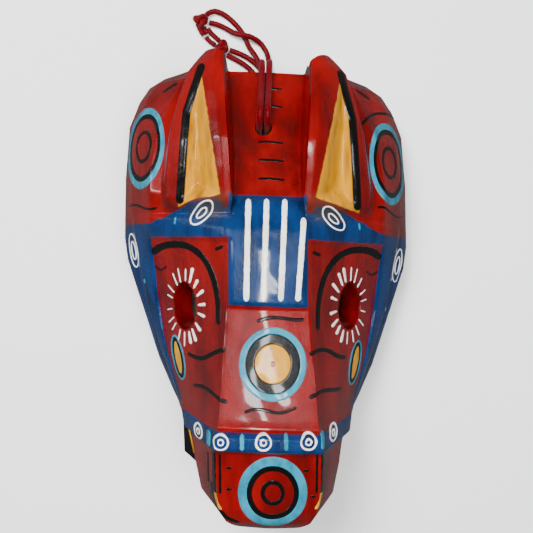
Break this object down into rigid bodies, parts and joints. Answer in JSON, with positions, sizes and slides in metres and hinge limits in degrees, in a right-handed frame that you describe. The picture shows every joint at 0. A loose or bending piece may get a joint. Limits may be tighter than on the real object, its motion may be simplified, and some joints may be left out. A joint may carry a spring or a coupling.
{
  "type": "carved wooden horse mask",
  "caption": "Carved and painted wooden horse-head mask with a bridle in relief, hollow back, eye holes, open mouth and a knotted hanging cord.",
  "frame": {"origin": "under the middle of the mask's box, on the plane of its back rim, without the cord", "axes": "+X to the right as one faces the mask, +Y from the muzzle up to the ears, +Z out of the face"},
  "size_m": [0.1708, 0.2998, 0.1179],
  "materials": {
    "painted_wood": "hand-brushed gloss enamel on carved soft wood, mostly red with blue, turquoise, yellow, black and white",
    "cord": "glossy dark red twisted cord"
  },
  "bodies": {
    "root": {"carved_head": "painted_wood", "cord_strand_left": "cord", "cord_strand_right": "cord", "end_knot": "cord", "mid_knot": "cord", "knot_link": "cord"}
  },
  "joints": []
}
